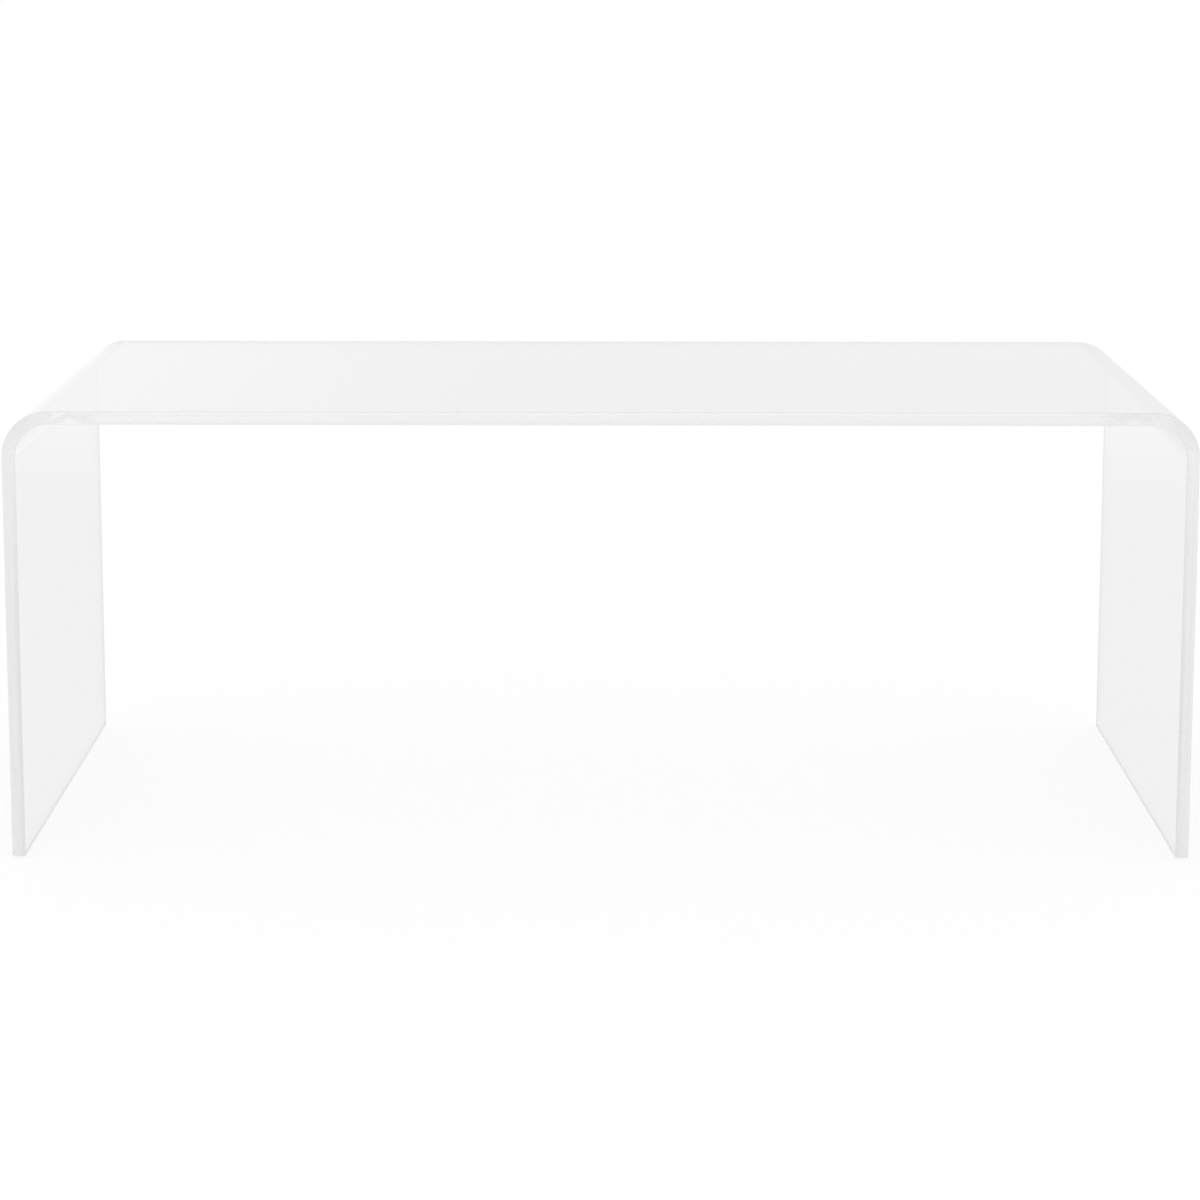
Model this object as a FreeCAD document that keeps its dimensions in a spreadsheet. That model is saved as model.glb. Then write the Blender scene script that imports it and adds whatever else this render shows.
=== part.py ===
"""Waterfall coffee table: one clear acrylic sheet, bent twice, that stands on four clear bumpers.

The sheet is a strip of one thickness. It rises as the left leg, rolls through a quarter turn into
the flat top, rolls through another quarter turn and goes down as the right leg. Every cut edge is
eased by a small chamfer. Under both ends of each leg a bumper is stuck to the foot edge by a disc
of adhesive.

Frame: X along the length, -Y to the front, Z up. The origin is on the floor, under the middle of
the table. All sizes are in millimetres.
"""

import FreeCAD, Part
import Sketcher
import os
from math import pi

PARTS_FOLDER = "parts"

# The driving dimensions: alias, value, what it is.
SIZES = [
    ("TableLength", 1143.0, "outer face of one leg to outer face of the other"),
    ("TableDepth", 600.0, "front edge to back edge, which is the width of the strip"),
    ("TableHeight", 438.0, "floor to the top face"),
    ("SheetThickness", 12.7, "half-inch cast sheet"),
    ("InsideBendRadius", 31.75, "the former that the hot sheet is rolled over"),
    ("EdgeEase", 0.8, "chamfer on every cut edge"),
    ("BumperDiameter", 10.0, "bumper, across"),
    ("BumperHeight", 2.0, "bumper, floor to adhesive"),
    ("BumperRimRadius", 0.7, "rounding of the rim that meets the floor"),
    ("BumperInset", 45.0, "end of the foot edge to the middle of a bumper"),
    ("AdhesiveThickness", 0.2, "adhesive, bumper to foot edge"),
    ("AdhesiveMargin", 0.4, "rim of the bumper to rim of the adhesive"),
]

# The four bumpers: name, side along X, side along Y.
CORNERS = [
    ("left_front", -1, -1),
    ("left_back", -1, 1),
    ("right_front", 1, -1),
    ("right_back", 1, 1),
]

# The sketcher's numbers for the points of an edge, and for a sketch's origin and upright axis.
SKETCHER = {"start": 1, "end": 2, "centre": 3, "origin": (-1, 1), "upright axis": -2}
SAME_PLACE = 1e-4  # two coordinates this close are the same


def make_sizes_sheet(doc):
    """Returns the spreadsheet whose aliases drive every sub-part."""
    sheet = doc.addObject("Spreadsheet::Sheet", "Sizes")
    for row, (alias, value, meaning) in enumerate(SIZES, start=1):
        sheet.set(f"A{row}", alias)
        sheet.set(f"B{row}", str(value))
        sheet.set(f"C{row}", meaning)
        sheet.setAlias(f"B{row}", alias)
    doc.recompute()
    return sheet


def foot_level(sizes):
    """Returns the height of the foot edges above the floor."""
    return sizes.BumperHeight + sizes.AdhesiveThickness


def new_sketch(body, name, plane_role):
    """Returns an empty sketch on the body's own origin plane of that role."""
    sketch = body.newObject("Sketcher::SketchObject", name)
    plane = next(f for f in body.Origin.OriginFeatures if f.Role == plane_role)
    sketch.AttachmentSupport = [(plane, "")]
    sketch.MapMode = "FlatFace"
    return sketch


def add_size(sketch, name, expression, *constraint):
    """Adds a named dimension to the sketch and binds it to the spreadsheet."""
    index = sketch.addConstraint(Sketcher.Constraint(*constraint))
    sketch.renameConstraint(index, name)
    sketch.setExpression(f"Constraints.{name}", expression)


def draw_strip(sketch, sizes):
    """Draws the bent strip as seen from the front and returns its lines and arcs by name."""
    half, top = sizes.TableLength / 2, sizes.TableHeight
    foot, thick = foot_level(sizes), sizes.SheetThickness
    inside_radius = sizes.InsideBendRadius
    outside_radius = inside_radius + thick
    bend_x, bend_z = half - outside_radius, top - outside_radius

    def line(*ends):
        start, end = (FreeCAD.Vector(x, z, 0) for x, z in ends)
        return sketch.addGeometry(Part.LineSegment(start, end))

    def bend(side, radius):
        centre = FreeCAD.Vector(side * bend_x, bend_z, 0)
        circle = Part.Circle(centre, FreeCAD.Vector(0, 0, 1), radius)
        first_angle = 0 if side > 0 else pi / 2
        return sketch.addGeometry(Part.ArcOfCircle(circle, first_angle, first_angle + pi / 2))

    return {
        "left outside": line((-half, foot), (-half, bend_z)),
        "left outer bend": bend(-1, outside_radius),
        "top face": line((-bend_x, top), (bend_x, top)),
        "right outer bend": bend(1, outside_radius),
        "right outside": line((half, bend_z), (half, foot)),
        "right foot": line((half, foot), (half - thick, foot)),
        "right inside": line((half - thick, foot), (half - thick, bend_z)),
        "right inner bend": bend(1, inside_radius),
        "under face": line((bend_x, top - thick), (-bend_x, top - thick)),
        "left inner bend": bend(-1, inside_radius),
        "left inside": line((thick - half, bend_z), (thick - half, foot)),
        "left foot": line((thick - half, foot), (-half, foot)),
    }


def constrain_strip(sketch, edges):
    """Ties the strip's edges to each other: what touches, what is level and what is equal."""
    numbers = {**SKETCHER, **edges}

    def tie(kind, *names):
        sketch.addConstraint(Sketcher.Constraint(kind, *(numbers[name] for name in names)))

    # An arc runs anticlockwise: a left bend ends on its leg, and a right bend starts on it.
    tie("Tangent", "left outside", "end", "left outer bend", "end")
    tie("Tangent", "top face", "start", "left outer bend", "start")
    tie("Tangent", "top face", "end", "right outer bend", "end")
    tie("Tangent", "right outside", "start", "right outer bend", "start")
    tie("Tangent", "right inside", "end", "right inner bend", "start")
    tie("Tangent", "under face", "start", "right inner bend", "end")
    tie("Tangent", "under face", "end", "left inner bend", "start")
    tie("Tangent", "left inside", "start", "left inner bend", "end")
    for side in ("left", "right"):
        tie("Coincident", f"{side} outer bend", "centre", f"{side} inner bend", "centre")
        tie("Vertical", f"{side} outside")
        tie("Vertical", f"{side} inside")
        tie("Horizontal", f"{side} foot")
    tie("Coincident", "right outside", "end", "right foot", "start")
    tie("Coincident", "right foot", "end", "right inside", "start")
    tie("Coincident", "left inside", "end", "left foot", "start")
    tie("Coincident", "left foot", "end", "left outside", "start")
    tie("Horizontal", "top face")
    tie("Symmetric", "left outside", "start", "right outside", "end", "upright axis")
    tie("Equal", "left foot", "right foot")
    tie("Equal", "left inner bend", "right inner bend")


def size_strip(sketch, edges, sizes):
    """Gives the strip its five driven dimensions."""
    origin = SKETCHER["origin"]
    left_end = (edges["left outside"], SKETCHER["start"])
    right_end = (edges["right outside"], SKETCHER["end"])
    top_end = (edges["top face"], SKETCHER["start"])
    foot_outer = (edges["left foot"], SKETCHER["end"])
    foot_inner = (edges["left foot"], SKETCHER["start"])
    add_size(
        sketch, "Length", "Sizes.TableLength",
        "DistanceX", *left_end, *right_end, sizes.TableLength,
    )
    add_size(
        sketch, "Height", "Sizes.TableHeight",
        "DistanceY", *origin, *top_end, sizes.TableHeight,
    )
    add_size(
        sketch, "FootLevel", "Sizes.BumperHeight + Sizes.AdhesiveThickness",
        "DistanceY", *origin, *left_end, foot_level(sizes),
    )
    add_size(
        sketch, "Thickness", "Sizes.SheetThickness",
        "DistanceX", *foot_outer, *foot_inner, sizes.SheetThickness,
    )
    add_size(
        sketch, "InsideRadius", "Sizes.InsideBendRadius",
        "Radius", edges["left inner bend"], sizes.InsideBendRadius,
    )


def find_edges(shape, belongs):
    """Returns the names of the shape's edges whose bounding box passes the test."""
    return [f"Edge{n}" for n, edge in enumerate(shape.Edges, start=1) if belongs(edge.BoundBox)]


def make_bent_sheet(doc, sizes):
    """The table itself: the strip's outline carried through the depth, its cut edges eased."""
    body = doc.addObject("PartDesign::Body", "BentSheet")
    body.Label = "bent_sheet"
    outline = new_sketch(body, "StripOutline", "XZ_Plane")
    edges = draw_strip(outline, sizes)
    constrain_strip(outline, edges)
    size_strip(outline, edges, sizes)

    strip = body.newObject("PartDesign::Pad", "Strip")
    strip.Profile = outline
    strip.SideType = "Symmetric"
    strip.setExpression("Length", "Sizes.TableDepth")
    doc.recompute()

    def is_cut_edge(box):
        on_side = (
            box.YLength < SAME_PLACE
            and abs(abs(box.YMin) - sizes.TableDepth / 2) < SAME_PLACE
        )
        on_foot = box.ZLength < SAME_PLACE and abs(box.ZMin - foot_level(sizes)) < SAME_PLACE
        return on_side or on_foot

    ease = body.newObject("PartDesign::Chamfer", "EasedEdges")
    ease.Base = (strip, find_edges(strip.Shape, is_cut_edge))
    ease.setExpression("Size", "Sizes.EdgeEase")
    body.Tip = ease
    return body


def stand_in_corner(piece, side_x, side_y, level):
    """Centres a piece under the thickness of a leg, inset from the end of its foot edge."""
    middle_of_leg = "(Sizes.TableLength - Sizes.SheetThickness) / 2"
    inset_from_end = "(Sizes.TableDepth / 2 - Sizes.BumperInset)"
    piece.setExpression("Placement.Base.x", f"{side_x} * {middle_of_leg}")
    piece.setExpression("Placement.Base.y", f"{side_y} * {inset_from_end}")
    piece.setExpression("Placement.Base.z", level)


def make_bumper(doc, sizes, corner, side_x, side_y):
    """A bumper: a short disc whose rim is rounded where it meets the floor."""
    body = doc.addObject("PartDesign::Body", f"Bumper_{corner}")
    body.Label = f"bumper_{corner}"
    outline = new_sketch(body, f"BumperOutline_{corner}", "XY_Plane")
    upright = FreeCAD.Vector(0, 0, 1)
    circle = Part.Circle(FreeCAD.Vector(0, 0, 0), upright, sizes.BumperDiameter / 2)
    rim = outline.addGeometry(circle)
    centre, origin = (rim, SKETCHER["centre"]), SKETCHER["origin"]
    outline.addConstraint(Sketcher.Constraint("Coincident", *centre, *origin))
    add_size(outline, "Across", "Sizes.BumperDiameter", "Diameter", rim, sizes.BumperDiameter)

    disc = body.newObject("PartDesign::Pad", f"BumperDisc_{corner}")
    disc.Profile = outline
    disc.setExpression("Length", "Sizes.BumperHeight")
    doc.recompute()

    rounding = body.newObject("PartDesign::Fillet", f"BumperRim_{corner}")
    rounding.Base = (disc, find_edges(disc.Shape, lambda box: box.ZMax < SAME_PLACE))
    rounding.setExpression("Radius", "Sizes.BumperRimRadius")
    body.Tip = rounding
    stand_in_corner(body, side_x, side_y, "0")
    return body


def make_adhesive(doc, corner, side_x, side_y):
    """The adhesive that fills the gap between a bumper and the foot edge above it."""
    disc = doc.addObject("Part::Cylinder", f"Adhesive_{corner}")
    disc.Label = f"adhesive_{corner}"
    disc.setExpression("Radius", "Sizes.BumperDiameter / 2 - Sizes.AdhesiveMargin")
    disc.setExpression("Height", "Sizes.AdhesiveThickness")
    stand_in_corner(disc, side_x, side_y, "Sizes.BumperHeight")
    return disc


def check_model(doc, pieces):
    """Stops if an object has failed, a sketch is loose or a sub-part isn't one valid solid."""
    for item in doc.Objects:
        if "Invalid" in item.State or "Error" in item.State:
            raise RuntimeError(f"{item.Name} has failed: {item.State}")
        if item.TypeId == "Sketcher::SketchObject" and not item.FullyConstrained:
            raise RuntimeError(f"{item.Name} isn't fully constrained")
    for piece in pieces:
        shape = piece.Shape
        if shape.isNull() or not shape.isValid() or len(shape.Solids) != 1:
            raise RuntimeError(f"{piece.Label} isn't one valid solid")


def main():
    doc = FreeCAD.newDocument("WaterfallTable")
    sizes = make_sizes_sheet(doc)
    pieces = [make_bent_sheet(doc, sizes)]
    for corner in CORNERS:
        pieces.append(make_bumper(doc, sizes, *corner))
        pieces.append(make_adhesive(doc, *corner))
    doc.recompute()
    check_model(doc, pieces)

    os.makedirs(PARTS_FOLDER, exist_ok=True)
    for piece in pieces:
        shape = piece.Shape
        shape.exportStep(os.path.join(PARTS_FOLDER, f"{piece.Label}.step"))
        lowest, highest = shape.BoundBox.ZMin, shape.BoundBox.ZMax
        print(f"{piece.Label}: z {lowest:.2f} to {highest:.2f}, {shape.Volume / 1000:.3f} cm3")


main()
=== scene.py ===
# %% [markdown]
# # A waterfall coffee table in clear acrylic
# The table is one thick sheet of clear acrylic that rolls down at both ends, so its top and its
# two legs are a single piece. It stands on four small clear bumpers.
# The measured model is loaded first. It is a fixed frame: everything below is built around it,
# in metres, and nothing in it is moved.

# %% Load the measured model
import math

import bmesh
import bpy
from mathutils import Matrix, Vector


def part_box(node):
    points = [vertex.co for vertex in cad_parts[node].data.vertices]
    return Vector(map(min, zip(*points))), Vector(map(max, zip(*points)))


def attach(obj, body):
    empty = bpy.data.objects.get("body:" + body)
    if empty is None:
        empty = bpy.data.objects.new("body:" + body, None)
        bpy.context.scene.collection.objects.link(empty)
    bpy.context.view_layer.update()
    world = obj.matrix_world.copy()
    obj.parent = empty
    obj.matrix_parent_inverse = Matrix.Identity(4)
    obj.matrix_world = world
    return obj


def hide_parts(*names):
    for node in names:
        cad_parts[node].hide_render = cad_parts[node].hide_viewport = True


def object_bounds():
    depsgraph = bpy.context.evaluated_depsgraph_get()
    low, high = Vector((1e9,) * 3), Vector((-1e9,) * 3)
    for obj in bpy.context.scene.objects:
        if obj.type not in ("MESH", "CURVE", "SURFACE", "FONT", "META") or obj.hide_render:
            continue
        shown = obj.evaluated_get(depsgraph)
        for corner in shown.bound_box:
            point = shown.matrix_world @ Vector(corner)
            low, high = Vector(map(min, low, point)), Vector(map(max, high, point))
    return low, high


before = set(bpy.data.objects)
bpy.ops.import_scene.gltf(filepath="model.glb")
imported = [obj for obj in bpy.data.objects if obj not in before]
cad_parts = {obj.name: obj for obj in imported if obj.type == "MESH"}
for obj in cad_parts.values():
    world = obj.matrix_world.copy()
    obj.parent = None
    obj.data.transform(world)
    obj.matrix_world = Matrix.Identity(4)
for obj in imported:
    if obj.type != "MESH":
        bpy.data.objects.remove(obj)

MM = 0.001  # one millimetre, in the scene's metres
scene = bpy.context.scene
measured_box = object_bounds()
low, high = measured_box
print("measured box, mm:", [round((b - a) / MM, 1) for a, b in zip(low, high)])


# %% [markdown]
# ## The camera
# A low, nearly level camera with a long lens keeps the legs upright and the top a thin strip.
# The view is turned from a level look along +Y: first the small roll about the line of sight,
# then the tilt down, then the small turn sideways.

# %% Place the camera
CAMERA_PLACE = Vector((4.4, -3841.5, 906.5)) * MM
CAMERA_TILT_DOWN = math.radians(10.40)
CAMERA_TURN = math.radians(0.08)
CAMERA_ROLL = math.radians(0.07)
LENS_MM = 112.54
SENSOR_MM = 36
FARTHEST_SEEN = 100  # metres

camera = bpy.data.objects.new("camera", bpy.data.cameras.new("camera"))
camera.data.lens = LENS_MM
camera.data.sensor_width = SENSOR_MM
camera.data.clip_end = FARTHEST_SEEN
camera.location = CAMERA_PLACE
turn = Matrix.Rotation(CAMERA_TURN, 3, "Z")
tilt = Matrix.Rotation(math.radians(90) - CAMERA_TILT_DOWN, 3, "X")
roll = Matrix.Rotation(CAMERA_ROLL, 3, "Z")
camera.rotation_euler = (turn @ tilt @ roll).to_euler()
scene.collection.objects.link(camera)
scene.camera = camera
print("camera stands", round(-CAMERA_PLACE.y, 2), "m in front and", round(CAMERA_PLACE.z, 2), "m up")


# %% [markdown]
# ## The sizes of the sheet
# The outside comes from the measured model. Only what its box can't tell is written here: the
# gauge of the sheet, the inside radius of the bends and how far the cut edges are eased.

# %% Sizes of the sheet
SHEET_THICKNESS = 12.7 * MM
INSIDE_RADIUS = 31.75 * MM
EDGE_EASE = 0.8 * MM

sheet_low, sheet_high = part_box("bent_sheet")
half_length = (sheet_high.x - sheet_low.x) / 2
half_depth = (sheet_high.y - sheet_low.y) / 2
foot_level = sheet_low.z
top_level = sheet_high.z
middle_radius = INSIDE_RADIUS + SHEET_THICKNESS / 2
outside_radius = INSIDE_RADIUS + SHEET_THICKNESS
print("sheet, mm:", round(2 * half_length / MM, 1), "x", round(2 * half_depth / MM, 1),
      "x", round((top_level - foot_level) / MM, 1))


# %% [markdown]
# ## The path of the sheet
# Seen from the front, the middle of the sheet runs up the left leg, round a quarter circle,
# along the top, round a second quarter circle and down the right leg. A station is one point of
# that path with the direction that points out of the table there. Straight stretches need a
# station only at each end. The bends are where the light plays, so they get many.

# %% Stations along the path
BEND_STEPS = 64


def bend_stations(centre_x, first_angle, last_angle):
    """Stations round one bend, as (middle of the sheet, outward direction)."""
    centre = Vector((centre_x, 0, top_level - outside_radius))
    stations = []
    for step in range(BEND_STEPS + 1):
        angle = first_angle + (last_angle - first_angle) * step / BEND_STEPS
        outward = Vector((math.cos(angle), 0, math.sin(angle)))
        stations.append((centre + middle_radius * outward, outward))
    return stations


def foot_station(side):
    """The last station of a leg, where the easing of the foot edge begins."""
    middle_x = side * (half_length - SHEET_THICKNESS / 2)
    return Vector((middle_x, 0, foot_level + EDGE_EASE)), Vector((side, 0, 0))


bend_centre_x = half_length - outside_radius
path = [foot_station(-1)]
path += bend_stations(-bend_centre_x, math.pi, math.pi / 2)
path += bend_stations(bend_centre_x, math.pi / 2, 0)
path += [foot_station(1)]
travel = [0.0]  # how far along the sheet each station lies
for (here, _), (there, _) in zip(path, path[1:]):
    travel.append(travel[-1] + (there - here).length)
print("stations along the path:", len(path))
print("length of the sheet before bending, mm:", round(travel[-1] / MM + 2 * EDGE_EASE / MM, 1))


# %% [markdown]
# ## The section of the sheet
# Cut across, the sheet is a long thin rectangle. The saw leaves sharp corners, called arrises, and
# the maker rounds them over so that they don't cut a hand. Then the edge is buffed until it is
# clear, and buffing takes a little more off near the arrises than in the middle. So a polished
# edge is never quite flat: it has a slight crown, and light that goes in through it fans out.
# Each point of the section knows its own true outward direction. Clear plastic bends light by
# that direction, and one guessed from flat facets would show every facet as a stripe.

# %% Points round the section
CORNER_STEPS = 4
CROWN_STEPS = 8
CROWN_SLOPE = math.radians(5)  # how far the crown leans by the time it meets an arris


def arc_points(centre, radius, angles):
    """Points on an arc with their outward directions, as (first, second, normal's two parts)."""
    points = []
    for angle in angles:
        normal = math.cos(angle), math.sin(angle)
        points.append((centre[0] + radius * normal[0], centre[1] + radius * normal[1], *normal))
    return points


def section_points(half_thickness, half_width, radius):
    """Points round the section, as (through the sheet, across it, normal's two parts)."""
    flat_half = half_thickness - radius
    crown_radius = flat_half / math.sin(CROWN_SLOPE) + radius
    crown_centre = half_width - crown_radius
    corner_centre = crown_centre + (crown_radius - radius) * math.cos(CROWN_SLOPE)
    last_easing = math.pi / 2 - CROWN_SLOPE
    easing = [last_easing * step / CORNER_STEPS for step in range(CORNER_STEPS + 1)]
    crown = [last_easing + 2 * CROWN_SLOPE * step / CROWN_STEPS for step in range(1, CROWN_STEPS)]
    half = arc_points((flat_half, corner_centre), radius, easing)
    half += arc_points((0, crown_centre), crown_radius, crown)
    half += arc_points((-flat_half, corner_centre), radius, [math.pi - a for a in reversed(easing)])
    return half + [tuple(-value for value in point) for point in half]


section = section_points(SHEET_THICKNESS / 2, half_depth, EDGE_EASE)
crown_begins = section[CORNER_STEPS]
crown_height = half_depth - crown_begins[1]
print("points round the section:", len(section))
print("the crown stands", round(crown_height / MM, 2), "mm above the arrises")


# %% [markdown]
# ## Skinning the path
# Rings of the section are set at every station and joined by four-sided faces. Each vertex also
# carries notes for later, in layers of the mesh:
# - `true_normal`, so that the normals survive when points that fall together are welded
# - `cut_edge`, 1 on the buffed edges and 0 on the two faces as they came from the casting mould
# - `arris`, 1 on the middle of the rounded corners, where hands and shoes rub
# - `sheet_place`, how far along, through and across the sheet the vertex lies, so that polishing
#   marks can run along the edge and follow it round the bends.

# %% Rings and skins
NO_PART = 0.001  # a normal's part that is smaller than this counts as none
across = Vector((0, 1, 0))
down = Vector((0, 0, -1))


def ring(mesh, layers, station, distance, points, lean=0.0):
    """Adds a ring of vertices at one station. lean turns the normals down towards the floor."""
    middle, outward = station
    vertices = []
    for through, sideways, normal_through, normal_across in points:
        vertex = mesh.verts.new(middle + through * outward + sideways * across)
        normal = normal_through * outward + normal_across * across
        vertex[layers["true_normal"]] = normal * math.cos(lean) + down * math.sin(lean)
        on_cut = abs(normal_across) > NO_PART or lean > 0
        vertex[layers["cut_edge"]] = 1.0 if on_cut else 0.0
        corner = 2 * abs(normal_through * normal_across)
        vertex[layers["arris"]] = max(corner, math.sin(2 * lean))
        vertex[layers["sheet_place"]] = Vector((distance, through, sideways))
        vertices.append(vertex)
    return vertices


def skin(mesh, rings):
    """Joins each ring to the next with four-sided faces."""
    for near, far in zip(rings, rings[1:]):
        for k in range(len(near)):
            j = (k + 1) % len(near)
            mesh.faces.new((near[k], near[j], far[j], far[k]))


def eased_end(mesh, layers, station, distance):
    """Rings that round the sheet over into its foot edge, from the outside in."""
    middle, outward = station
    rings = []
    for step in range(1, CORNER_STEPS + 1):
        lean = math.pi / 2 * step / CORNER_STEPS
        radius = EDGE_EASE * math.cos(lean)
        points = section_points(SHEET_THICKNESS / 2 - EDGE_EASE + radius,
                                half_depth - EDGE_EASE + radius, radius)
        lower = middle + down * (EDGE_EASE * math.sin(lean))
        rings.append(ring(mesh, layers, (lower, outward), distance, points, lean))
    return rings


# %% Build the bent sheet
WELD_DISTANCE = 0.001 * MM


def finish_mesh(mesh, layers, name):
    """Welds the mesh, turns it into an object and gives it its true normals."""
    bmesh.ops.remove_doubles(mesh, verts=mesh.verts, dist=WELD_DISTANCE)
    bmesh.ops.holes_fill(mesh, edges=mesh.edges)
    bmesh.ops.recalc_face_normals(mesh, faces=mesh.faces)
    data = bpy.data.meshes.new(name)
    true_normals = [vertex[layers["true_normal"]].copy() for vertex in mesh.verts]
    mesh.to_mesh(data)
    mesh.free()
    data.shade_smooth()
    data.normals_split_custom_set_from_vertices(true_normals)
    piece = bpy.data.objects.new(name, data)
    scene.collection.objects.link(piece)
    print(name, "has", len(data.vertices), "points and", len(data.polygons), "faces")
    return piece


def make_sheet():
    """The whole sheet: both feet, both legs, both bends and the top."""
    mesh = bmesh.new()
    layers = {name: mesh.verts.layers.float.new(name) for name in ("cut_edge", "arris")}
    layers |= {name: mesh.verts.layers.float_vector.new(name) for name in ("sheet_place", "true_normal")}
    rings = [ring(mesh, layers, station, distance, section) for station, distance in zip(path, travel)]
    first_foot = eased_end(mesh, layers, path[0], travel[0])
    last_foot = eased_end(mesh, layers, path[-1], travel[-1])
    skin(mesh, first_foot[::-1] + rings + last_foot)
    return finish_mesh(mesh, layers, "acrylic_sheet")


sheet = make_sheet()
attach(sheet, "root")
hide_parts("bent_sheet")


# %% [markdown]
# ## The bumpers
# A clear bumper sits under each end of each leg, so that the polished foot never touches the
# floor. It is cast from soft polyurethane in a shallow mould. The wall leans a few degrees so
# that the bumper comes out of the mould, and its rim on the floor side is well rounded.
# Under the foot it is stuck with a thin disc of clear adhesive, a little smaller than itself.
# Each piece keeps a hair's breadth from the next. Where two faces lie in the same place, a renderer
# can't tell which one a ray meets first, and clear pieces show that at once.

# %% Profiles of the turned pieces
HAIR_GAP = 0.02 * MM
RIM_RADIUS = 0.7 * MM
LIP_RADIUS = 0.15 * MM
DRAFT = math.radians(4)
ARC_STEPS = 6
ROUND_STEPS = 64


def steps_between(first, last, count):
    """Evenly spaced values from first to last, both included."""
    return [first + (last - first) * step / count for step in range(count + 1)]


def bumper_profile(radius, bottom, top):
    """Half section of a bumper from the middle of its base round to the middle of its top."""
    lip_centre = radius - LIP_RADIUS, top - LIP_RADIUS
    rise = lip_centre[1] - (bottom + RIM_RADIUS)
    step_in = (RIM_RADIUS - LIP_RADIUS + rise * math.sin(DRAFT)) / math.cos(DRAFT)
    rim_centre = lip_centre[0] - step_in, bottom + RIM_RADIUS
    rim = arc_points(rim_centre, RIM_RADIUS, steps_between(-math.pi / 2, -DRAFT, ARC_STEPS))
    lip = arc_points(lip_centre, LIP_RADIUS, steps_between(-DRAFT, math.pi / 2, ARC_STEPS))
    return [(0, bottom, 0, -1)] + rim + lip + [(0, top, 0, 1)]


def adhesive_profile(radius, bottom, top):
    """Half section of an adhesive disc, whose edge bulges a little where it was squeezed."""
    half = (top - bottom) / 2
    bulge = arc_points((radius - half, bottom + half), half,
                       steps_between(-math.pi / 2, math.pi / 2, ARC_STEPS))
    return [(0, bottom, 0, -1)] + bulge + [(0, top, 0, 1)]


def turned_piece(name, middle_x, middle_y, profile):
    """Turns a profile round an upright axis, as on a lathe."""
    mesh = bmesh.new()
    layers = {"true_normal": mesh.verts.layers.float_vector.new("true_normal")}
    rings = []
    for radius, height, normal_out, normal_up in profile:
        turned = []
        for step in range(ROUND_STEPS):
            angle = 2 * math.pi * step / ROUND_STEPS
            out = Vector((math.cos(angle), math.sin(angle), 0))
            vertex = mesh.verts.new(Vector((middle_x, middle_y, height)) + radius * out)
            vertex[layers["true_normal"]] = normal_out * out + Vector((0, 0, normal_up))
            turned.append(vertex)
        rings.append(turned)
    skin(mesh, rings)
    return finish_mesh(mesh, layers, name)


# %% Make the bumpers and their adhesive
bumpers = []
adhesives = []
for corner in ("left_front", "left_back", "right_front", "right_back"):
    cup_low, cup_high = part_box("bumper_" + corner)
    disc_low, disc_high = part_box("adhesive_" + corner)
    middle = (cup_low + cup_high) / 2
    profile = bumper_profile((cup_high.x - cup_low.x) / 2, cup_low.z, cup_high.z - HAIR_GAP / 2)
    bumper = turned_piece("clear_bumper_" + corner, middle.x, middle.y, profile)
    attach(bumper, "root")
    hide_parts("bumper_" + corner)
    bumpers.append(bumper)
    profile = adhesive_profile((disc_high.x - disc_low.x) / 2, disc_low.z + HAIR_GAP / 2,
                               disc_high.z - HAIR_GAP)
    adhesive = turned_piece("adhesive_disc_" + corner, middle.x, middle.y, profile)
    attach(adhesive, "root")
    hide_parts("adhesive_" + corner)
    adhesives.append(adhesive)
print("bumpers stand at, mm:", round(middle.x / MM, 2), "and", round(middle.y / MM, 2), "from the middle")


# %% [markdown]
# ## Materials
# Colours are written as the hex values a designer would pick, and one function turns them into
# the linear values that light adds up in. A second one adds a node to a material, with its
# settings and links. Each input is named with _ for a space, or by its place as _0, _1 and so
# on, and a node given as a value stands for its first output.

# %% Helpers for materials
def linear(hex_colour):
    """Turns an sRGB hex colour into the linear RGBA that shaders use."""
    values = [int(hex_colour[i:i + 2], 16) / 255 for i in (1, 3, 5)]
    return [v / 12.92 if v <= 0.04045 else ((v + 0.055) / 1.055) ** 2.4 for v in values] + [1.0]


def add_node(tree, kind, settings=(), **inputs):
    """Adds a node. settings are its own fields; inputs are values, nodes or sockets."""
    node = tree.nodes.new(kind)
    for field, value in dict(settings).items():
        setattr(node, field, value)
    for name, value in inputs.items():
        key = int(name[1:]) if name[0] == "_" else name.replace("_", " ")
        if isinstance(value, bpy.types.Node):
            value = value.outputs[0]
        if isinstance(value, bpy.types.NodeSocket):
            tree.links.new(value, node.inputs[key])
        else:
            node.inputs[key].default_value = value
    return node


def new_material(name):
    """An empty node material and its tree."""
    material = bpy.data.materials.new(name)
    material.use_nodes = True
    material.node_tree.nodes.clear()
    return material, material.node_tree


# %% [markdown]
# ## Cast acrylic
# Acrylic (PMMA) sheet is cast between two plates of glass, so its faces come out as flat and
# clear as the glass was. Its index of refraction is 1.49. Only a faint haze from wiping is on them:
# it is far too fine to see, so it shows as patches where the gloss is a touch softer.
# The cut edges are sawn, scraped and buffed. Buffing leaves fine lines along the edge, so the
# roughness there is higher and a stretched noise gives the lines. Real lines are hundredths
# of a millimetre apart; they are drawn 2 mm apart, the finest that a view of the whole table shows.
# Where the sheet was heated to bend it, its faces ripple by a few hundredths of a millimetre.
# The arrises are rubbed most, so they are the dullest.
# Inside, the plastic swallows a little light on every metre. Only light that runs along the
# sheet, from the front edge to the back, goes far enough for that to show.

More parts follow.
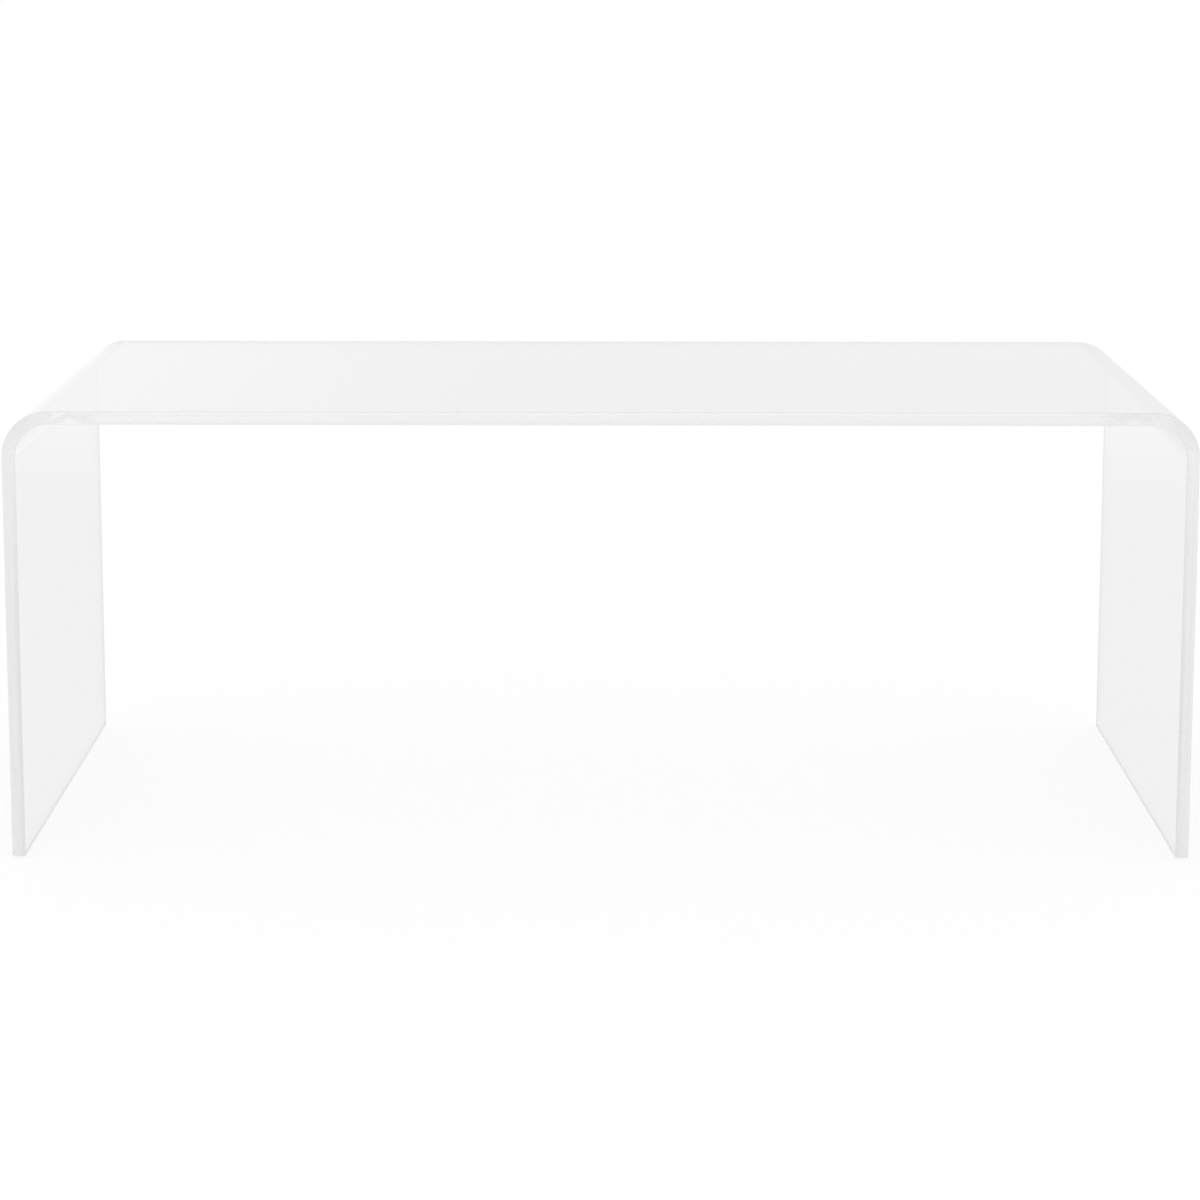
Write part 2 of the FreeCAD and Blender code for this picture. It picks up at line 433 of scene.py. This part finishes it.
# %% Make the acrylic
INDEX_ACRYLIC = 1.49
FACE_TINT = "#ffffff"
# painted shade: the buffed edges and the foot get a colour a touch darker than the faces
EDGE_PAINTED_SHADE_TINT = "#fefefe"
NOISE_SPREAD = {"From_Min": 0.3, "From_Max": 0.7}  # nearly all of a noise's values lie in here
WIPE_PATCH = 180 * MM
WIPE_SPREAD = {"From_Min": 0.45, "From_Max": 0.75}  # so that only the wiped patches are hazy
WIPE_ROUGHNESS = 0.02
BUFFED_ROUGHNESS = (0.11, 0.15)
RUBBED_ROUGHNESS = 0.17
SCUFF_SIZE = 12 * MM
LINE_LENGTH = 150 * MM
LINE_SPACING = 2 * MM
LINE_DEPTH = 0.03 * MM
RIPPLE_LENGTH = 25 * MM
RIPPLE_DEPTH = 0.02 * MM
ABSORBED_PER_METRE = 0.04
NO_TINT_INSIDE = "#000000"  # the density alone then says how much is swallowed

heated_half = middle_radius * math.pi / 4  # half the length of sheet that goes round a bend
bend_from_middle = travel[-1] / 2 - (travel[1] - travel[0]) - heated_half


def make_acrylic():
    """Clear cast acrylic with glass-smooth faces and buffed edges."""
    material, tree = new_material("clear_cast_acrylic_buffed_edges")
    cut = add_node(tree, "ShaderNodeAttribute", {"attribute_name": "cut_edge"}).outputs["Fac"]
    arris = add_node(tree, "ShaderNodeAttribute", {"attribute_name": "arris"}).outputs["Fac"]
    place = add_node(tree, "ShaderNodeAttribute", {"attribute_name": "sheet_place"})
    space = add_node(tree, "ShaderNodeTexCoord").outputs["Object"]

    wiping = add_node(tree, "ShaderNodeTexNoise", Vector=space, Scale=1 / WIPE_PATCH, Detail=3.0)
    face_roughness = add_node(tree, "ShaderNodeMapRange", Value=wiping, **WIPE_SPREAD,
                              To_Min=0.0, To_Max=WIPE_ROUGHNESS)
    stretched = add_node(tree, "ShaderNodeMapping", Vector=place.outputs["Vector"],
                         Scale=(1 / LINE_LENGTH, 1 / LINE_SPACING, 0))
    lines = add_node(tree, "ShaderNodeTexNoise", Vector=stretched, Scale=1.0, Detail=2.0)
    edge_roughness = add_node(tree, "ShaderNodeMapRange", Value=lines, **NOISE_SPREAD,
                              To_Min=BUFFED_ROUGHNESS[0], To_Max=BUFFED_ROUGHNESS[1])
    scuffs = add_node(tree, "ShaderNodeTexNoise", Vector=space, Scale=1 / SCUFF_SIZE, Detail=4.0)
    rubbed = add_node(tree, "ShaderNodeMath", {"operation": "MULTIPLY"}, _0=arris, _1=scuffs)
    roughness = add_node(tree, "ShaderNodeMix", _0=cut, _2=face_roughness, _3=edge_roughness)
    roughness = add_node(tree, "ShaderNodeMix", _0=rubbed, _2=roughness, _3=RUBBED_ROUGHNESS)

    along = add_node(tree, "ShaderNodeSeparateXYZ", Vector=place.outputs["Vector"])
    from_middle = add_node(tree, "ShaderNodeMath", {"operation": "SUBTRACT"},
                           _0=along, _1=travel[-1] / 2)
    from_middle = add_node(tree, "ShaderNodeMath", {"operation": "ABSOLUTE"}, _0=from_middle)
    from_bend = add_node(tree, "ShaderNodeMath", {"operation": "SUBTRACT"},
                         _0=from_middle, _1=bend_from_middle)
    from_bend = add_node(tree, "ShaderNodeMath", {"operation": "ABSOLUTE"}, _0=from_bend)
    heated = add_node(tree, "ShaderNodeMapRange", {"interpolation_type": "SMOOTHSTEP"},
                      Value=from_bend, From_Min=2 * heated_half, From_Max=heated_half)
    ripples = add_node(tree, "ShaderNodeTexNoise", Vector=space, Scale=1 / RIPPLE_LENGTH, Detail=1.0)
    ripple_height = add_node(tree, "ShaderNodeMath", {"operation": "MULTIPLY"}, _0=heated, _1=ripples)
    line_height = add_node(tree, "ShaderNodeMath", {"operation": "MULTIPLY"}, _0=cut, _1=lines)
    rippled = add_node(tree, "ShaderNodeBump", Distance=RIPPLE_DEPTH, Height=ripple_height)
    surface = add_node(tree, "ShaderNodeBump", Distance=LINE_DEPTH, Height=line_height, Normal=rippled)

    # the buffed edges and the foot take the darker colour, a painted shade
    colour_with_painted_edge_shade = add_node(tree, "ShaderNodeMix", {"data_type": "RGBA"}, Factor=cut,
                    _6=linear(FACE_TINT), _7=linear(EDGE_PAINTED_SHADE_TINT))
    clear = add_node(tree, "ShaderNodeBsdfPrincipled", Base_Color=colour_with_painted_edge_shade.outputs["Result"],
                     Roughness=roughness, IOR=INDEX_ACRYLIC, Transmission_Weight=1.0, Normal=surface)
    inside = add_node(tree, "ShaderNodeVolumeAbsorption", Color=linear(NO_TINT_INSIDE),
                      Density=ABSORBED_PER_METRE)
    add_node(tree, "ShaderNodeOutputMaterial", Surface=clear, Volume=inside)
    return material


acrylic = make_acrylic()
sheet.data.materials.append(acrylic)
print("the bends' middles lie", round(bend_from_middle / MM, 1), "mm along the sheet from its middle")


# %% [markdown]
# ## Polyurethane and adhesive
# The bumpers are clear cast polyurethane: softer than the table, a little cloudy, with a skin
# that is slightly dull from the mould. Their rims pick up dust from the floor, so they are
# duller lower down. The adhesive is a clear acrylic film. Squeezed against the foot, it keeps
# tiny pockets of air, which look like pale specks.

# %% Make the polyurethane
INDEX_POLYURETHANE = 1.50
CLEAN_POLYURETHANE = "#f6f7f5"
DUSTY_POLYURETHANE = "#dcdad4"
MOTTLE_SIZE = 1.5 * MM
MOTTLE_DEPTH = 0.02 * MM
MOULDED_ROUGHNESS = (0.12, 0.22)
DUSTY_ROUGHNESS = 0.4


def make_polyurethane(floor_level, height):
    """Clear cast polyurethane with a slightly dull skin."""
    material, tree = new_material("clear_cast_polyurethane")
    space = add_node(tree, "ShaderNodeTexCoord").outputs["Object"]
    parts = add_node(tree, "ShaderNodeSeparateXYZ", Vector=space)
    mottling = add_node(tree, "ShaderNodeTexNoise", Vector=space, Scale=1 / MOTTLE_SIZE, Detail=3.0)
    skin_roughness = add_node(tree, "ShaderNodeMapRange", Value=mottling, **NOISE_SPREAD,
                              To_Min=MOULDED_ROUGHNESS[0], To_Max=MOULDED_ROUGHNESS[1])
    low_down = add_node(tree, "ShaderNodeMapRange", {"interpolation_type": "SMOOTHSTEP"},
                        Value=parts.outputs["Z"], From_Min=floor_level + height / 2,
                        From_Max=floor_level)
    roughness = add_node(tree, "ShaderNodeMix", _0=low_down, _2=skin_roughness, _3=DUSTY_ROUGHNESS)
    dust = add_node(tree, "ShaderNodeMath", {"operation": "MULTIPLY"}, _0=low_down, _1=mottling)
    colour = add_node(tree, "ShaderNodeMix", {"data_type": "RGBA"}, Factor=dust,
                      _6=linear(CLEAN_POLYURETHANE), _7=linear(DUSTY_POLYURETHANE))
    surface = add_node(tree, "ShaderNodeBump", Distance=MOTTLE_DEPTH, Height=mottling)
    clear = add_node(tree, "ShaderNodeBsdfPrincipled", Base_Color=colour.outputs["Result"],
                     Roughness=roughness, IOR=INDEX_POLYURETHANE, Transmission_Weight=1.0,
                     Normal=surface)
    add_node(tree, "ShaderNodeOutputMaterial", Surface=clear)
    return material


polyurethane = make_polyurethane(low.z, foot_level)
for bumper in bumpers:
    bumper.data.materials.append(polyurethane)
print("bumpers are made of", polyurethane.name)


# %% Make the adhesive
INDEX_ADHESIVE = 1.47
ADHESIVE_TINT = "#efeee9"
POCKET_TINT = "#fbfbfa"
POCKET_SPACING = 0.9 * MM
POCKET_EDGE = {"From_Min": 0.32, "From_Max": 0.22}  # a share of the spacing, from outside to inside
POCKET_DEPTH = 0.02 * MM
ADHESIVE_ROUGHNESS = (0.25, 0.5)
ADHESIVE_CLEARNESS = 0.8


def make_adhesive():
    """Clear adhesive film with pockets of air pressed into it."""
    material, tree = new_material("clear_adhesive_film")
    space = add_node(tree, "ShaderNodeTexCoord").outputs["Object"]
    pockets = add_node(tree, "ShaderNodeTexVoronoi", Vector=space, Scale=1 / POCKET_SPACING)
    specks = add_node(tree, "ShaderNodeMapRange", Value=pockets, **POCKET_EDGE)
    roughness = add_node(tree, "ShaderNodeMapRange", Value=specks,
                         To_Min=ADHESIVE_ROUGHNESS[0], To_Max=ADHESIVE_ROUGHNESS[1])
    colour = add_node(tree, "ShaderNodeMix", {"data_type": "RGBA"}, Factor=specks,
                      _6=linear(ADHESIVE_TINT), _7=linear(POCKET_TINT))
    surface = add_node(tree, "ShaderNodeBump", Distance=POCKET_DEPTH, Height=specks)
    film = add_node(tree, "ShaderNodeBsdfPrincipled", Base_Color=colour.outputs["Result"],
                    Roughness=roughness, IOR=INDEX_ADHESIVE, Transmission_Weight=ADHESIVE_CLEARNESS,
                    Normal=surface)
    add_node(tree, "ShaderNodeOutputMaterial", Surface=film)
    return material


adhesive_film = make_adhesive()
for adhesive in adhesives:
    adhesive.data.materials.append(adhesive_film)
print("adhesive discs are made of", adhesive_film.name)


# %% [markdown]
# ## Floor and studio
# The floor is a plain white sweep, and soft light comes from all round. The table's shadow on
# the floor is faint, because the table is clear, and because most of the floor's white is a glow
# that only the camera sees.
# A clear thing has no colour of its own: it is seen only by what it bends into view. So glass and
# acrylic are lit in what a studio calls bright field. A pale backdrop, only just wider than the
# object, stands behind it, and darker flats stand to both sides. A polished edge fans light out, so
# what is seen through it lies partly beyond the backdrop, and that draws the outline. Here the
# camera itself sees pure white, and only the clear pieces show the backdrop and the flats.

# %% The floor
FLOOR_HALF = 12.0
FLOOR_PAINT = 0.12  # the share of the floor's white that comes from the light falling on it

floor_mesh = bmesh.new()
bmesh.ops.create_grid(floor_mesh, x_segments=1, y_segments=1, size=FLOOR_HALF)
floor_data = bpy.data.meshes.new("floor")
floor_mesh.to_mesh(floor_data)
floor_mesh.free()
floor = bpy.data.objects.new("floor", floor_data)
scene.collection.objects.link(floor)


def make_floor_material():
    """A floor that the camera sees as white but for the shadow, and clear things see through."""
    material, tree = new_material("studio_floor")
    rays = add_node(tree, "ShaderNodeLightPath")
    seen_by_clear = add_node(tree, "ShaderNodeMath", {"operation": "MAXIMUM"},
                             _0=rays.outputs["Is Glossy Ray"], _1=rays.outputs["Is Transmission Ray"])
    glow = add_node(tree, "ShaderNodeMath", {"operation": "MULTIPLY"},
                    _0=rays.outputs["Is Camera Ray"], _1=1 - FLOOR_PAINT)
    paint = add_node(tree, "ShaderNodeBsdfDiffuse", Color=[FLOOR_PAINT] * 3 + [1.0])
    light = add_node(tree, "ShaderNodeEmission", Strength=glow)
    white = add_node(tree, "ShaderNodeAddShader", _0=paint, _1=light)
    open_air = add_node(tree, "ShaderNodeBsdfTransparent")
    surface = add_node(tree, "ShaderNodeMixShader", _0=seen_by_clear, _1=white, _2=open_air)
    add_node(tree, "ShaderNodeOutputMaterial", Surface=surface)
    return material


floor.data.materials.append(make_floor_material())
print("floor:", 2 * FLOOR_HALF, "m square")


# %% [markdown]
# ## The studio around the table
# The studio is one pattern on the sky, and later zones cover earlier ones. Each zone says how
# bright it is and where it begins and is full, measured by one or more of these:
# - `up`, the upward part of the direction, and `steep`, the same without its sign
# - `right`, the part along the table's length
# - `aside`, the degrees that the direction lies to the side of the nearest eighth of a turn, so that
#   a view from the front, a side or a corner has its backdrop in place.
#
# The strengths were found by trial: one was changed, the tones of the sheet were measured, and so
# on. Seen from the front, the top shows the backdrop, mostly the part above the horizon, and the
# legs show its foot. The cut edge of the top shows the wall above in its upper half. The cut edges
# of the legs and the thin lines of the arrises also show the flats and the surround at the sides.
# The bends show the dark strip, and the right one also the wing. The other zones hardly show from
# the front. The wall on the left keeps the legs from vanishing when the table is seen from its end.

# %% Paint the studio
BACKDROP_ABOVE = (0.91, 0.86)  # on the left and on the right, above the horizon
BACKDROP_BELOW = (1.0, 0.945)  # the same, below it
BACKDROP_FADE = {"From_Min": -0.16, "From_Max": -0.02}  # from its left to its right strength
HORIZON_FADE = {"From_Min": -0.08, "From_Max": 0.08}
BACKDROP_EVERY = 45  # degrees
STUDIO_ZONES = [
    ("wall above the backdrop", 0.97, [("up", 0.132, 0.16), ("aside", 8.5, 7.5)]),
    ("wing on the right", 0.87, [("right", 0.135, 0.175)]),
    ("wall on the left", 0.92, [("right", -0.22, -0.32)]),
    ("foot of the backdrop", 0.885, [("up", -0.10, -0.16)]),
    ("flats at the sides", 0.75, [("aside", 9.3, 12.0), ("steep", 0.14, 0.19)]),
    ("gap in the middle", 0.87, [("aside", 8.2, 5.5), ("steep", 0.18, 0.24)]),
    ("dark strip on the floor", 0.85,
     [("aside", 6.5, 4.0), ("up", -0.17, -0.20), ("up", -0.26, -0.22)]),
    ("ceiling", 0.78, [("up", 0.24, 0.42)]),
    ("floor by the table", 0.888, [("up", -0.30, -0.42)]),
    ("line of the horizon", 0.88, [("steep", 0.10, 0.03), ("aside", 9.0, 8.0)]),
    ("dark surround", 0.78, [("aside", 12.5, 16.0), ("steep", 0.60, 0.45)]),
]


def make_studio():
    """Plain light of strength 1 from everywhere, and a pattern for glossy and clear things alone."""
    world = bpy.data.worlds.new("studio")
    world.use_nodes = True
    tree = world.node_tree
    tree.nodes.clear()
    direction = add_node(tree, "ShaderNodeTexCoord").outputs["Generated"]
    x, y, z = add_node(tree, "ShaderNodeSeparateXYZ", Vector=direction).outputs
    turned = add_node(tree, "ShaderNodeMath", {"operation": "ARCTAN2"}, _0=x, _1=y)
    degrees = add_node(tree, "ShaderNodeMath", {"operation": "DEGREES"}, _0=turned)
    aside = add_node(tree, "ShaderNodeMath", {"operation": "PINGPONG"}, _0=degrees,
                     _1=BACKDROP_EVERY / 2)
    steep = add_node(tree, "ShaderNodeMath", {"operation": "ABSOLUTE"}, _0=z)
    measures = {"up": z, "right": x, "aside": aside, "steep": steep}
    halves = []
    for left, right in (BACKDROP_BELOW, BACKDROP_ABOVE):
        halves.append(add_node(tree, "ShaderNodeMapRange", {"interpolation_type": "SMOOTHSTEP"},
                               Value=x, **BACKDROP_FADE, To_Min=left, To_Max=right))
    horizon = add_node(tree, "ShaderNodeMapRange", {"interpolation_type": "SMOOTHSTEP"}, Value=z,
                       **HORIZON_FADE)
    studio = add_node(tree, "ShaderNodeMix", _0=horizon, _2=halves[0], _3=halves[1])
    for name, strength, limits in STUDIO_ZONES:
        amount = 1.0
        for measure, begins, full in limits:
            fade = add_node(tree, "ShaderNodeMapRange", {"interpolation_type": "SMOOTHSTEP"},
                            Value=measures[measure], From_Min=begins, From_Max=full)
            amount = add_node(tree, "ShaderNodeMath", {"operation": "MULTIPLY"}, _0=amount, _1=fade)
        studio = add_node(tree, "ShaderNodeMix", _0=amount, _2=studio, _3=strength)
        print(name, "has a strength of", strength)

    rays = add_node(tree, "ShaderNodeLightPath")
    seen_by_clear = add_node(tree, "ShaderNodeMath", {"operation": "MAXIMUM"},
                             _0=rays.outputs["Is Glossy Ray"], _1=rays.outputs["Is Transmission Ray"])
    before_floor = add_node(tree, "ShaderNodeMath", {"operation": "LESS_THAN"},
                            _0=rays.outputs["Diffuse Depth"], _1=0.5)
    shows = add_node(tree, "ShaderNodeMath", {"operation": "MULTIPLY"},
                     _0=seen_by_clear, _1=before_floor)
    strength = add_node(tree, "ShaderNodeMix", _0=shows, _2=1.0, _3=studio)
    sky = add_node(tree, "ShaderNodeBackground", Color=linear("#ffffff"), Strength=strength)
    add_node(tree, "ShaderNodeOutputWorld", Surface=sky)
    return world


scene.world = make_studio()


# %% [markdown]
# ## How far light is followed
# Light that enters the sheet by an edge is mirrored from face to face, often dozens of times,
# before it finds a way out. A ray that is given up too early is drawn black, so many bounces are
# allowed. Few rays need them.

# %% Allow many bounces
BOUNCES = 200
scene.cycles.max_bounces = BOUNCES
scene.cycles.glossy_bounces = BOUNCES
scene.cycles.transmission_bounces = BOUNCES
scene.view_settings.view_transform = "Standard"
print("bounces allowed:", BOUNCES)
